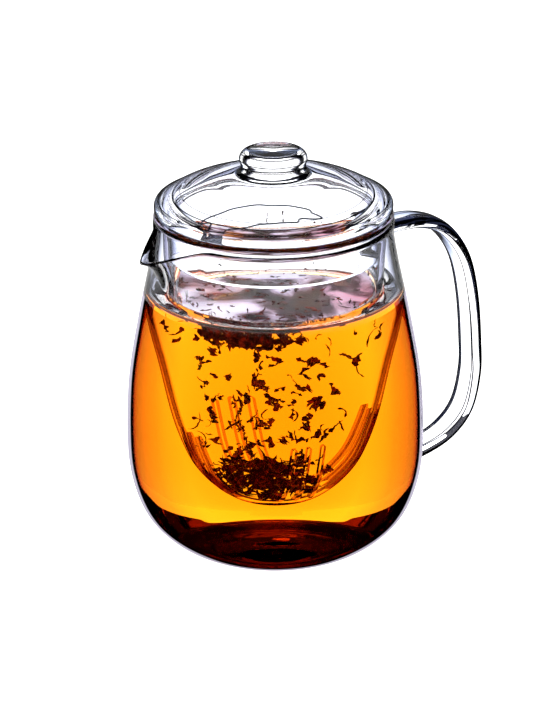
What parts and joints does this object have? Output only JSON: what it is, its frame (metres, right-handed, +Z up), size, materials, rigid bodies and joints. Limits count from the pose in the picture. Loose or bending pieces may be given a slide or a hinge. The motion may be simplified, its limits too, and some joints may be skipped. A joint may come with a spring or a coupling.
{
  "type": "glass teapot",
  "caption": "Egg-shaped clear glass teapot with a strap handle and a pulled pouring lip, a lift-out slotted glass infuser bowl and a domed glass lid with a button knob.",
  "frame": {"origin": "centre of the jug's flat base, on the surface it stands on", "axes": "+Z up along the pot's axis, +X towards the handle, pouring lip on -X, Y across the pot"},
  "size_m": [0.1498, 0.112, 0.1533],
  "materials": {
    "jug_glass": "clear blown borosilicate, fire-polished edges",
    "infuser_glass": "clear blown borosilicate, sawn slots",
    "lid_glass": "clear formed glass with faint surface waves",
    "tea": "clear amber black-tea brew, still surface",
    "tea_leaf": "wet, wrinkled, dark brown tea leaf"
  },
  "bodies": {
    "jug": {"jug_body": "jug_glass", "handle": "jug_glass"},
    "infuser": {"infuser": "infuser_glass"},
    "lid": {"lid": "lid_glass", "lid_knob": "lid_glass"}
  },
  "joints": [
    {"name": "infuser_lift", "type": "slide", "parent": "jug", "child": "infuser", "axis": [0, 0, 1], "range_m": [0, 0.12]},
    {"name": "lid_lift", "type": "slide", "parent": "infuser", "child": "lid", "axis": [0, 0, 1], "range_m": [0, 0.06]}
  ]
}
